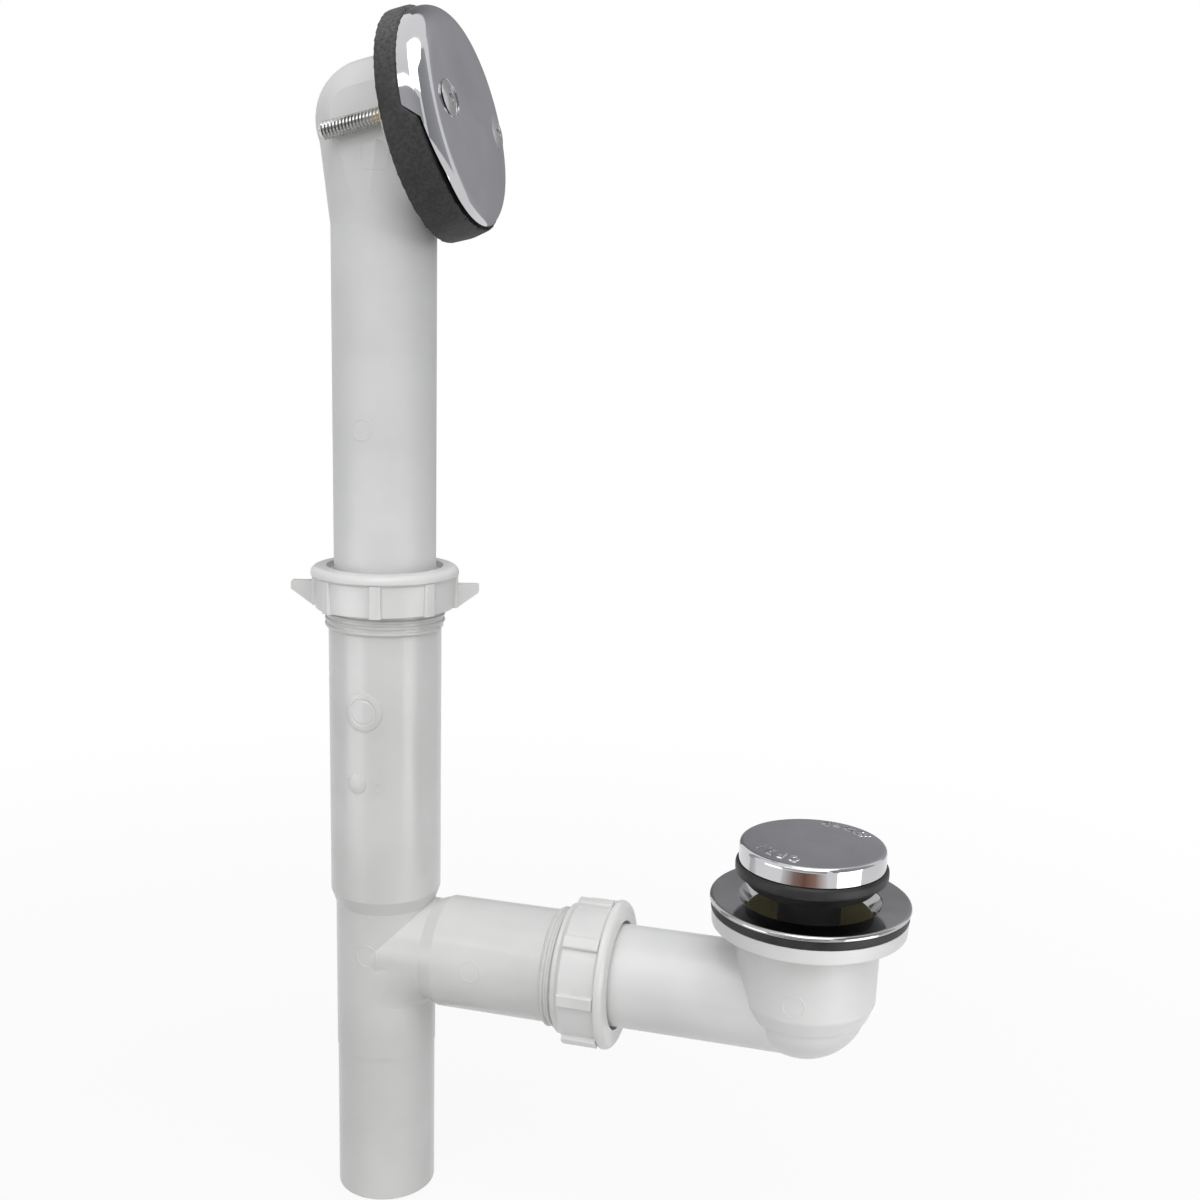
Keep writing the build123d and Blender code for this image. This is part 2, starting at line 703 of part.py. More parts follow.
# Cap hub: tube under the cap with two helical cam slots and a groove for the clip
def make_hub():
    bore_top = cap_ceiling_z - HUB_FLANGE_T + RUN_GAP
    hub = rod(hub_r, hub_foot_z, cap_ceiling_z)
    hub += rod(HUB_FLANGE_R, cap_ceiling_z - HUB_FLANGE_T, cap_ceiling_z)
    hub -= rod(hub_bore, hub_foot_z, bore_top)
    groove_low = clip_z - CLIP_GROOVE / 4
    hub -= tube_ring(hub_r - CLIP_GROOVE, HUB_FLANGE_R, groove_low, groove_low + CLIP_T + CLIP_GROOVE / 2)
    slot_r = PIN_R + RUN_GAP
    middle = hub_bore + HUB_WALL / 2
    path = Helix(pitch=LIFT * 360 / CAP_TURN, height=LIFT, radius=middle)
    section = Plane(origin=path @ 0, x_dir=(1, 0, 0), z_dir=path % 0) * Rectangle(2 * HUB_WALL, 2 * slot_r)
    end = Pos(middle, 0, 0) * Rot(0, 90, 0) * Cylinder(slot_r, 2 * HUB_WALL)
    cam = sweep(section, path, is_frenet=True) + end + Rot(0, 0, CAP_TURN) * Pos(0, 0, LIFT) * end
    for cut in ring_of(Pos(0, 0, pin_z) * cam, 2):
        hub -= cut
    return drain * hub


# Open clip in the hub's groove, under the sleeve's shoulder
def make_clip():
    clip = tube_ring(hub_r - CLIP_GROOVE / 2, CLIP_R, clip_z, clip_z + CLIP_T)
    gap = make_face(Polyline(
        (0, 0),
        (2 * CLIP_R, 2 * CLIP_R * sin(radians(CLIP_GAP / 2))),
        (2 * CLIP_R, -2 * CLIP_R * sin(radians(CLIP_GAP / 2))),
        close=True,
    ))
    return drain * (clip - Pos(0, 0, clip_z) * extrude(gap, CLIP_T))


# Stopper cap: pressed shell with a low crown
def make_cap():
    top = cap_edge_z + CAP_CROWN
    crown_r = (cap_r**2 + CAP_CROWN**2) / (2 * CAP_CROWN)
    shell = rod(cap_r, cap_rim_z, top) & Pos(0, 0, top - crown_r) * Sphere(crown_r)
    rim = [edge for edge in shell.edges() if edge.is_closed and edge.center().Z > cap_ceiling_z]
    shell = fillet(rim, CAP_ROUND)
    return drain * (shell - rod(cap_r - CAP_WALL, cap_rim_z, cap_ceiling_z))


os.makedirs("parts", exist_ok=True)
nodes = {
    "tee_fitting": make_tee(),
    "overflow_slip_nut": make_run_nut(),
    "overflow_slip_washer": slip_washer(RUN_MOUTH_Z),
    "waste_slip_nut": along_branch * make_branch_nut(),
    "waste_slip_washer": along_branch * slip_washer(BRANCH_MOUTH_X),
    "overflow_tube": make_overflow_tube(),
    "overflow_gasket": make_overflow_gasket(),
    "overflow_plate": make_overflow_plate(),
    "overflow_screws": make_screws(),
    "screw_inserts": make_inserts(),
    "waste_shoe": make_shoe(),
    "shoe_gasket": make_shoe_gasket(),
    "drain_strainer": make_strainer(),
    "stopper_post": make_post(),
    "cam_pin": make_pin(),
    "stopper_sleeve": make_sleeve(),
    "stopper_seal": make_seal(),
    "cap_hub": make_hub(),
    "hub_clip": make_clip(),
    "stopper_cap": make_cap(),
}
for name, solid in nodes.items():
    export_step(solid, f"parts/{name}.step")
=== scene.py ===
# Bath waste and overflow: white plastic tee, overflow pipe and shoe held by slip nuts,
# with a chromed overflow plate, a chromed drain and a twist stopper that stands open.
from math import cos, pi, radians, sin, sqrt

import bmesh
import bpy
from mathutils import Matrix, Vector, noise
from mathutils.bvhtree import BVHTree


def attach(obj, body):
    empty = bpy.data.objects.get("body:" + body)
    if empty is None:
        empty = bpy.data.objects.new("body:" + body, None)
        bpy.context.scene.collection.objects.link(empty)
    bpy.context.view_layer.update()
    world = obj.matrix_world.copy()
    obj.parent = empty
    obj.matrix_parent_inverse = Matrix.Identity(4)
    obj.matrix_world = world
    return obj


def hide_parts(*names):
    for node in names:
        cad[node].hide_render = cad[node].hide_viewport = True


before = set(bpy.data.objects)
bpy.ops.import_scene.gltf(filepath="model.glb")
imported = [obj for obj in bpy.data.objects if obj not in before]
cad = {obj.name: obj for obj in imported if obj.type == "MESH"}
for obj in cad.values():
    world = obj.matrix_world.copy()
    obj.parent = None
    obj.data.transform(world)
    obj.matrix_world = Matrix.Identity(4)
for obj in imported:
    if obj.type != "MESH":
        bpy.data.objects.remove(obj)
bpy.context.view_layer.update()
MM = 0.001


# Tee fitting: tail, run socket and branch socket in one injection moulding of white plastic.
# Everything else slides into it. The socket threads are moulded ridges, and flat discs and
# rings on its near side are the marks of the mould's inserts and ejectors.
PIPE_SHADE = (0.60, 0.60, 0.585)
PIPE_LIGHT = (0.67, 0.67, 0.655)
PIPE_GLOSS = 0.24
PLASTIC_IOR = 1.53
NOISE_LOW = 0.3
NOISE_HIGH = 0.7
SHADE_STOP = 0.35
LIGHT_STOP = 0.65
WELD = 0.001 * MM
THREAD_CORE = 21.9 * MM
THREAD_PITCH = 2.3 * MM
THREAD_RIDGE = 0.7 * MM
THREAD_CORNERS = 8
THREAD_STEPS = 48
RUN_THREAD_Z = 228.8 * MM
RUN_THREAD_TURNS = 5.4
BRANCH_THREAD_X = 70.8 * MM
BRANCH_THREAD_TURNS = 6.0
BRANCH_Z = 101 * MM
MARK_SIDES = 40
MARK_CREASE = 20
PROBE_START = 20
DISC_RISE = 0.4
DISC_SHOULDER = 0.3
DISC_FOOT = -0.15
DISC_MIDDLE = 0.2
DISC_SLOPE = 0.5
DISC_EDGE = 0.1
GROOVE_FLOOR = 0.22
GROOVE_WIDTH = 0.6
GROOVE_SLOPE = 0.2
RING_RISE = 0.12
RING_FOOT = -0.1
NEAR = (0, -1, 0)


def node_material(name):
    """A new material with its Principled shader and object coordinates at hand."""
    material = bpy.data.materials.new(name)
    material.use_nodes = True
    nodes = material.node_tree.nodes
    shader = nodes["Principled BSDF"]
    place = nodes.new("ShaderNodeTexCoord").outputs["Object"]
    return material, nodes, material.node_tree.links, shader, place


def noise_field(nodes, links, place, scale, detail):
    """Output of a noise texture read at object coordinates, scale in features per metre."""
    field = nodes.new("ShaderNodeTexNoise")
    field.inputs["Scale"].default_value = scale
    field.inputs["Detail"].default_value = detail
    links.new(place, field.inputs["Vector"])
    return field.outputs["Fac"]


def between(nodes, links, value, low, high):
    """A noise value spread between two numbers."""
    spread = nodes.new("ShaderNodeMapRange")
    spread.inputs["From Min"].default_value = NOISE_LOW
    spread.inputs["From Max"].default_value = NOISE_HIGH
    spread.inputs["To Min"].default_value = low
    spread.inputs["To Max"].default_value = high
    links.new(value, spread.inputs["Value"])
    return spread.outputs["Result"]


def two_tones(nodes, links, value, shade, light):
    """A noise value as a colour between two tones."""
    ramp = nodes.new("ShaderNodeValToRGB")
    ramp.color_ramp.elements[0].position = SHADE_STOP
    ramp.color_ramp.elements[1].position = LIGHT_STOP
    ramp.color_ramp.elements[0].color = (*shade, 1)
    ramp.color_ramp.elements[1].color = (*light, 1)
    links.new(value, ramp.inputs["Fac"])
    return ramp.outputs["Color"]


def roughen(nodes, links, shader, value, strength, depth):
    """Bump on a shader from a noise value, depth in metres."""
    bump = nodes.new("ShaderNodeBump")
    bump.inputs["Strength"].default_value = strength
    bump.inputs["Distance"].default_value = depth
    links.new(value, bump.inputs["Height"])
    links.new(bump.outputs["Normal"], shader.inputs["Normal"])


def moulded_plastic(name, shade, light, gloss):
    """Rigid moulded plastic: faint flow clouds, uneven gloss and a fine tool texture."""
    material, nodes, links, shader, place = node_material(name)
    clouds = noise_field(nodes, links, place, scale=22, detail=3)
    links.new(two_tones(nodes, links, clouds, shade, light), shader.inputs["Base Color"])
    haze = noise_field(nodes, links, place, scale=160, detail=2)
    links.new(between(nodes, links, haze, gloss - 0.01, gloss + 0.02), shader.inputs["Roughness"])
    grain = noise_field(nodes, links, place, scale=900, detail=2)
    roughen(nodes, links, shader, grain, strength=0.05, depth=0.4 * MM)
    shader.inputs["IOR"].default_value = PLASTIC_IOR
    return material


def finish_node(name, material):
    """Give a CAD node its material."""
    cad[name].data.materials.clear()
    cad[name].data.materials.append(material)


def settled_mesh(working):
    """Plain mesh of a working object with its modifiers run. The working object goes."""
    depsgraph = bpy.context.evaluated_depsgraph_get()
    shown = working.evaluated_get(depsgraph)
    mesh = bpy.data.meshes.new_from_object(shown, depsgraph=depsgraph)
    bpy.data.objects.remove(working)
    return mesh


def grown_mesh(name, tree, sizes, blank=None):
    """Plain mesh that a node tree grows from a blank, or from nothing, with these sizes."""
    working = bpy.data.objects.new(name, blank or bpy.data.meshes.new(name))
    bpy.context.scene.collection.objects.link(working)
    grower = working.modifiers.new(name, "NODES")
    grower.node_group = tree
    for item in tree.interface.items_tree:
        if item.name in sizes:
            grower[item.identifier] = sizes[item.name]
    return settled_mesh(working)


def outward_faces(mesh, crease):
    """Merge a mesh's doubles, turn its faces outwards and smooth it up to a crease angle."""
    form = bmesh.new()
    form.from_mesh(mesh)
    bmesh.ops.remove_doubles(form, verts=form.verts, dist=WELD)
    bmesh.ops.recalc_face_normals(form, faces=form.faces)
    form.to_mesh(mesh)
    form.free()
    mesh.shade_smooth()
    mesh.set_sharp_from_angle(angle=radians(crease))


def fit_piece(name, mesh, body, slot, *stands_for):
    """A finished mesh as a piece of the model, riding on a body in place of some CAD nodes."""
    piece = bpy.data.objects.new(name, mesh)
    bpy.context.scene.collection.objects.link(piece)
    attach(piece, body)
    if stands_for:
        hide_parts(*stands_for)
    return piece


def thread_tree():
    """Node tree of a thread: a ridge swept up a spiral about Z from the origin."""
    tree = bpy.data.node_groups.new("thread ridge", "GeometryNodeTree")
    for label, kind in (
        ("Radius", "NodeSocketFloat"),
        ("Pitch", "NodeSocketFloat"),
        ("Turns", "NodeSocketFloat"),
        ("Ridge", "NodeSocketFloat"),
        ("Corners", "NodeSocketInt"),
        ("Finish", "NodeSocketMaterial"),
    ):
        tree.interface.new_socket(label, in_out="INPUT", socket_type=kind)
    tree.interface.new_socket("Thread", in_out="OUTPUT", socket_type="NodeSocketGeometry")
    nodes = tree.nodes
    links = tree.links
    given = nodes.new("NodeGroupInput").outputs
    rise = nodes.new("ShaderNodeMath")
    rise.operation = "MULTIPLY"
    links.new(given["Pitch"], rise.inputs[0])
    links.new(given["Turns"], rise.inputs[1])
    path = nodes.new("GeometryNodeCurveSpiral")
    path.inputs["Resolution"].default_value = THREAD_STEPS
    links.new(given["Turns"], path.inputs["Rotations"])
    links.new(given["Radius"], path.inputs["Start Radius"])
    links.new(given["Radius"], path.inputs["End Radius"])
    links.new(rise.outputs["Value"], path.inputs["Height"])
    level = nodes.new("GeometryNodeSetCurveNormal")
    level.mode = "Z_UP"
    links.new(path.outputs["Curve"], level.inputs["Curve"])
    section = nodes.new("GeometryNodeCurvePrimitiveCircle")
    links.new(given["Corners"], section.inputs["Resolution"])
    links.new(given["Ridge"], section.inputs["Radius"])
    sweep = nodes.new("GeometryNodeCurveToMesh")
    sweep.inputs["Fill Caps"].default_value = True
    links.new(level.outputs["Curve"], sweep.inputs["Curve"])
    links.new(section.outputs["Curve"], sweep.inputs["Profile Curve"])
    whole = nodes.new("GeometryNodeRealizeInstances")
    links.new(sweep.outputs["Mesh"], whole.inputs["Geometry"])
    coat = nodes.new("GeometryNodeSetMaterial")
    links.new(whole.outputs["Geometry"], coat.inputs["Geometry"])
    links.new(given["Finish"], coat.inputs["Material"])
    links.new(coat.outputs["Geometry"], nodes.new("NodeGroupOutput").inputs["Thread"])
    return tree


def socket_thread(name, turns, place, finish):
    """Thread of a socket, grown about Z and then set on its socket."""
    sizes = {
        "Radius": THREAD_CORE,
        "Pitch": THREAD_PITCH,
        "Turns": turns,
        "Ridge": THREAD_RIDGE,
        "Corners": THREAD_CORNERS,
        "Finish": finish,
    }
    mesh = grown_mesh(name, thread_ridge, sizes)
    outward_faces(mesh, crease=60)
    mesh.transform(place)
    fit_piece(name, mesh, "tee", "white_pipe")


def mould_mark(name, node, body, slot, centre, outward, outline, finish, corners=2):
    """Mark of the mould: an outline of radius and height in mm, laid on a node's own surface.
    With corners at 2 the mark is round, and above that it squares off."""
    skin = BVHTree.FromObject(cad[node], bpy.context.evaluated_depsgraph_get())
    outward = Vector(outward).normalized()
    across = Vector((0, 0, 1)).cross(outward).normalized()
    along = outward.cross(across)
    form = bmesh.new()
    rings = []
    for radius, height in outline:
        ring = []
        for step in range(MARK_SIDES):
            turn = 2 * pi * step / MARK_SIDES
            squareness = abs(cos(turn)) ** corners + abs(sin(turn)) ** corners
            reach = radius / squareness ** (1 / corners)
            spot = Vector(centre) + (across * cos(turn) + along * sin(turn)) * reach
            hit = skin.ray_cast((spot + outward * PROBE_START) * MM, -outward)[0]
            ring.append(form.verts.new(hit + outward * height * MM))
        rings.append(ring)
    for inner, outer in zip(rings, rings[1:]):
        for step in range(MARK_SIDES):
            after = (step + 1) % MARK_SIDES
            form.faces.new((inner[step], outer[step], outer[after], inner[after]))
    if outline[0][1] > 0:
        form.faces.new(rings[0])
    mesh = bpy.data.meshes.new(name)
    bmesh.ops.recalc_face_normals(form, faces=form.faces)
    form.to_mesh(mesh)
    form.free()
    mesh.shade_smooth()
    mesh.set_sharp_from_angle(angle=radians(MARK_CREASE))
    mesh.materials.append(finish)
    fit_piece(name, mesh, body, slot)


def disc_outline(radius):
    """Outline of a flat raised disc, its foot sunk in the surface."""
    top = [(DISC_MIDDLE, DISC_RISE), (radius - DISC_SLOPE, DISC_RISE)]
    return top + [(radius - DISC_EDGE, DISC_SHOULDER), (radius, DISC_FOOT)]


def grooved_outline(radius, inner):
    """Outline of a raised disc with a groove about its inner part."""
    outer = inner + GROOVE_WIDTH
    core = [(DISC_MIDDLE, DISC_RISE), (inner - GROOVE_SLOPE, DISC_RISE)]
    groove = [(inner, GROOVE_FLOOR), (outer, GROOVE_FLOOR), (outer + GROOVE_SLOPE, DISC_RISE)]
    return core + groove + disc_outline(radius)[1:]


def ring_outline(radius, width):
    """Outline of a low raised ring, its feet sunk in the surface."""
    half = width / 2
    inner = [(radius - half, RING_FOOT), (radius - half / 2, RING_RISE)]
    return inner + [(radius + half / 2, RING_RISE), (radius + half, RING_FOOT)]


white_pipe = moulded_plastic("white pipe plastic", PIPE_SHADE, PIPE_LIGHT, PIPE_GLOSS)
finish_node("tee_fitting", white_pipe)
thread_ridge = thread_tree()
run_foot = Matrix.Translation((0, 0, RUN_THREAD_Z))
branch_foot = Matrix.Translation((BRANCH_THREAD_X, 0, BRANCH_Z))
branch_foot @= Matrix.Rotation(pi / 2, 4, "Y")
socket_thread("run_thread", RUN_THREAD_TURNS, run_foot, white_pipe)
socket_thread("branch_thread", BRANCH_THREAD_TURNS, branch_foot, white_pipe)
for mark, centre, outline in (
    ("run_disc_large", (0.2, -21, 199.6), grooved_outline(radius=7.5, inner=4.4)),
    ("run_disc_small", (-2.4, -20, 171.8), disc_outline(radius=3.9)),
    ("run_ring_small", (6.1, -19, 170.9), ring_outline(radius=1.5, width=0.5)),
    ("tail_ring", (0.3, -20, 102.4), ring_outline(radius=4.2, width=0.7)),
    ("branch_ring", (43.2, -21, 103.2), ring_outline(radius=3.9, width=0.7)),
):
    mould_mark(mark, "tee_fitting", "tee", "white_pipe", centre, NEAR, outline, white_pipe)


# Slip nuts and their washers: white plastic nuts turned by hand on the socket threads.
# The run nut has two thumb wings, both have grip ribs, and each presses a soft bevelled washer.
NUT_SHADE = (0.65, 0.65, 0.635)
NUT_LIGHT = (0.74, 0.74, 0.725)
WASHER_SHADE = (0.55, 0.57, 0.57)
WASHER_LIGHT = (0.66, 0.68, 0.68)
white_nut = moulded_plastic("white nut plastic", NUT_SHADE, NUT_LIGHT, gloss=0.3)
soft_washer = moulded_plastic("waxy washer plastic", WASHER_SHADE, WASHER_LIGHT, gloss=0.5)
for nut in ("overflow_slip_nut", "waste_slip_nut"):
    finish_node(nut, white_nut)
for washer in ("overflow_slip_washer", "waste_slip_washer"):
    finish_node(washer, soft_washer)


# Overflow pipe: tube, domed elbow head and tilted flange in one white moulding.
# It slides in the tee's run socket, and two brass inserts in its flange take the plate's screws.
TUBE_SHADE = (0.63, 0.63, 0.62)
TUBE_LIGHT = (0.71, 0.71, 0.70)
BRASS_SHADE = (0.50, 0.36, 0.14)
BRASS_LIGHT = (0.66, 0.50, 0.22)


def plated_metal(name, shade, light, gloss, ripple):
    """Bright metal: slight tone drift, fine polish marks and a barely wavy surface."""
    material, nodes, links, shader, place = node_material(name)
    shader.inputs["Metallic"].default_value = 1.0
    drift = noise_field(nodes, links, place, scale=35, detail=2)
    links.new(two_tones(nodes, links, drift, shade, light), shader.inputs["Base Color"])
    polish = noise_field(nodes, links, place, scale=450, detail=3)
    links.new(between(nodes, links, polish, gloss, gloss + 0.05), shader.inputs["Roughness"])
    waves = noise_field(nodes, links, place, scale=60, detail=1)
    roughen(nodes, links, shader, waves, strength=ripple, depth=0.6 * MM)
    return material


white_tube = moulded_plastic("white tube plastic", TUBE_SHADE, TUBE_LIGHT, gloss=0.4)
finish_node("overflow_tube", white_tube)
insert_brass = plated_metal("insert brass", BRASS_SHADE, BRASS_LIGHT, gloss=0.22, ripple=0.05)
finish_node("screw_inserts", insert_brass)
for mark, centre, outline, corners in (
    ("head_square", (4.7, -19, 397.7), ring_outline(radius=4.6, width=0.8), 5),
    ("tube_ring", (-0.3, -19, 303.3), ring_outline(radius=3.8, width=0.6), 2),
):
    mould_mark(
        mark, "overflow_tube", "overflow", "white_pipe", centre, NEAR, outline, white_tube, corners
    )


# Overflow gasket: a wedge of black closed-cell sponge, squeezed between elbow and plate.
# It is die-cut: its skin is pitted and its edges soft. Dust and painted light lighten its top.
SPONGE_SHADE = (0.013, 0.013, 0.0135)
SPONGE_LIGHT = (0.033, 0.033, 0.0335)
# Tone of the upper part: dust speckle together with painted light on the sponge's top.
SPONGE_DUST_AND_LIGHT = (0.11, 0.11, 0.108)
SPONGE_VOXEL = 0.75 * MM
SPONGE_DENT = 0.07 * MM
DENT_WIDTH = 12 * MM
# Height band over which the sponge turns lighter upwards: dust and painted light.
DUST_AND_LIGHT_FOOT_Z = 420 * MM
DUST_AND_LIGHT_TOP_Z = 444 * MM
EASE_STEP = 0.5


def sponge_rubber(name):
    """Closed-cell sponge: cell speckle and a pitted skin, with dust and painted light on top."""
    material, nodes, links, shader, place = node_material(name)
    cells = noise_field(nodes, links, place, scale=900, detail=4)
    speckle = two_tones(nodes, links, cells, SPONGE_SHADE, SPONGE_LIGHT)
    dust_and_light = two_tones(nodes, links, cells, SPONGE_LIGHT, SPONGE_DUST_AND_LIGHT)
    height = nodes.new("ShaderNodeSeparateXYZ")
    links.new(place, height.inputs["Vector"])
    upper_share = nodes.new("ShaderNodeMapRange")
    upper_share.inputs["From Min"].default_value = DUST_AND_LIGHT_FOOT_Z
    upper_share.inputs["From Max"].default_value = DUST_AND_LIGHT_TOP_Z
    links.new(height.outputs["Z"], upper_share.inputs["Value"])
    # Painted light with dust: the sponge's colour is mixed lighter towards its top.
    mix = nodes.new("ShaderNodeMixRGB")
    links.new(upper_share.outputs["Result"], mix.inputs["Fac"])
    links.new(speckle, mix.inputs["Color1"])
    links.new(dust_and_light, mix.inputs["Color2"])
    links.new(mix.outputs["Color"], shader.inputs["Base Color"])
    patches = noise_field(nodes, links, place, scale=60, detail=3)
    links.new(between(nodes, links, patches, low=0.62, high=0.85), shader.inputs["Roughness"])
    roughen(nodes, links, shader, cells, strength=0.3, depth=0.4 * MM)
    return material


def eased_copy(name, node, voxel, passes, finish):
    """Mesh over a soft CAD solid with its edges eased, as sponge and rubber have them."""
    form = bmesh.new()
    form.from_mesh(cad[node].data)
    bmesh.ops.remove_doubles(form, verts=form.verts, dist=WELD)
    blank = bpy.data.meshes.new(name)
    form.to_mesh(blank)
    form.free()
    working = bpy.data.objects.new(name, blank)
    bpy.context.scene.collection.objects.link(working)
    skin = working.modifiers.new("skin", "REMESH")
    skin.mode = "VOXEL"
    skin.voxel_size = voxel
    ease = working.modifiers.new("ease", "SMOOTH")
    ease.factor = EASE_STEP
    ease.iterations = passes
    mesh = settled_mesh(working)
    mesh.materials.clear()
    mesh.materials.append(finish)
    mesh.shade_smooth()
    return mesh


black_sponge = sponge_rubber("black sponge")
gasket = eased_copy(
    "sponge_wedge", "overflow_gasket", SPONGE_VOXEL, passes=8, finish=black_sponge
)
for point in gasket.vertices:
    dent = noise.noise(point.co / DENT_WIDTH) - 0.5
    point.co += point.normal * dent * SPONGE_DENT
fit_piece("sponge_wedge", gasket, "overflow", "black_sponge", "overflow_gasket")


# Overflow plate: a steel dish, pressed, polished and chromed. Two screws hold it over the gasket,
# and overflowing water enters under its lower rim, which is cut away.
CHROME_SHADE = (0.53, 0.53, 0.55)
CHROME_LIGHT = (0.60, 0.60, 0.62)
chrome = plated_metal("polished chrome", CHROME_SHADE, CHROME_LIGHT, gloss=0.05, ripple=0.02)
finish_node("overflow_plate", chrome)


# Overflow screws: two long plated machine screws with oval cross-recess heads and rolled threads.
# They pass through plate and gasket into the elbow's inserts, and run on beside its head.
STEEL_SHADE = (0.50, 0.50, 0.50)
STEEL_LIGHT = (0.66, 0.66, 0.65)
PLATE_H = 12.9
PLATE_CROWN_R = 200
SCREW_SPACING = 46.7
SCREW_LENGTH = 48
SCREW_R = 3.15
SCREW_CORE_R = 2.55
SCREW_PITCH = 1.27
SCREW_HEAD_R = 6.2
SCREW_HEAD_H = 3.2
SCREW_CROWN = 1.2
SCREW_SIDES = 64
TIP_BEVEL_R = 0.5
TIP_BEVEL_H = 0.6
NECK_H = 0.7
HEAD_LIP = 0.1
CROWN_STEPS = (0.97, 0.9, 0.75, 0.55, 0.35, 0.15, 0)
ROLL_START = 0.8
ROLL_STOP = 2.2
ROLL_CORNERS = 4
CROSS_REACH = 3.0
CROSS_WIDTH = 1.3
CROSS_DEPTH = 1.7
CROSS_TAPER = 0.5
CROSS_FLARE = 1.25
CROSS_OVERSHOOT = 1
HEAD_TURN = radians(1.5)
FACE_TILT = radians(12.6)
PLATE_TURN = radians(6.6)
HEAD_AXIS_Z = 405.3
PLATE_RIM_N = 23.3


def plate_place():
    """Frame of the overflow plate: its rim in XY, its face out along Z."""
    turn = Matrix.Rotation(HEAD_TURN, 4, "Z")
    out = Vector((cos(FACE_TILT), 0, sin(FACE_TILT)))
    side = Vector((0, 1, 0))
    rise = out.cross(side)
    face = Matrix((side, rise, out)).transposed().to_4x4()
    spot = Matrix.Translation((Vector((0, 0, HEAD_AXIS_Z)) + out * PLATE_RIM_N) * MM)
    return turn @ spot @ face @ Matrix.Rotation(-PLATE_TURN, 4, "Z")


def lathed(form, outline, sides):
    """Turn an outline of radius and height, both in mm, about Z into a mesh form."""
    rings = []
    for radius, height in outline:
        count = sides if radius > 0 else 1
        spots = [2 * pi * step / count for step in range(count)]
        ring = [(radius * cos(spot), radius * sin(spot), height) for spot in spots]
        rings.append([form.verts.new(Vector(spot) * MM) for spot in ring])
    for low, high in zip(rings, rings[1:]):
        for step in range(sides):
            corners = [low[step % len(low)], low[(step + 1) % len(low)]]
            corners += [high[(step + 1) % len(high)], high[step % len(high)]]
            form.faces.new(list(dict.fromkeys(corners)))


def cross_cutter(top):
    """Tapered cross that cuts the recess of a screw's head down from a height."""
    form = bmesh.new()
    rings = []
    levels = ((CROSS_FLARE, top + CROSS_OVERSHOOT), (1.0, top), (CROSS_TAPER, top - CROSS_DEPTH))
    for scale, height in levels:
        ring = []
        half = CROSS_WIDTH / 2 * scale
        reach = CROSS_REACH * scale
        for quarter in range(4):
            turn = Matrix.Rotation(quarter * pi / 2, 3, "Z")
            for spot in ((half, half), (reach, half), (reach, -half)):
                ring.append(form.verts.new(turn.inverted() @ Vector((*spot, height)) * MM))
        rings.append(ring)
    for low, high in zip(rings, rings[1:]):
        for step in range(len(low)):
            after = (step + 1) % len(low)
            form.faces.new((low[step], low[after], high[after], high[step]))
    form.faces.new(rings[0])
    form.faces.new(rings[-1])
    bmesh.ops.recalc_face_normals(form, faces=form.faces)
    mesh = bpy.data.meshes.new("cross recess")
    form.to_mesh(mesh)
    form.free()
    cutter = bpy.data.objects.new("cross recess", mesh)
    bpy.context.scene.collection.objects.link(cutter)
    return cutter


def screw_blank(seat):
    """Mesh of a screw before its thread is rolled: core, cone under the head, crown and recess."""
    tip = seat - SCREW_LENGTH
    under = seat - SCREW_HEAD_H
    outline = [(0, tip), (SCREW_CORE_R - TIP_BEVEL_R, tip)]
    outline += [(SCREW_CORE_R, tip + TIP_BEVEL_H), (SCREW_CORE_R, under - NECK_H)]
    outline += [(SCREW_R, under), (SCREW_HEAD_R, seat - HEAD_LIP), (SCREW_HEAD_R, seat)]
    for share in CROWN_STEPS:
        outline.append((SCREW_HEAD_R * share, seat + SCREW_CROWN * (1 - share**2)))
    form = bmesh.new()
    lathed(form, outline, SCREW_SIDES)
    bmesh.ops.recalc_face_normals(form, faces=form.faces)
    mesh = bpy.data.meshes.new("screw blank")
    form.to_mesh(mesh)
    form.free()
    working = bpy.data.objects.new("screw blank", mesh)
    bpy.context.scene.collection.objects.link(working)
    cutter = cross_cutter(seat + SCREW_CROWN)
    punch = working.modifiers.new("punch", "BOOLEAN")
    punch.operation = "DIFFERENCE"
    punch.solver = "EXACT"
    punch.object = cutter
    mesh = settled_mesh(working)
    bpy.data.objects.remove(cutter)
    return mesh


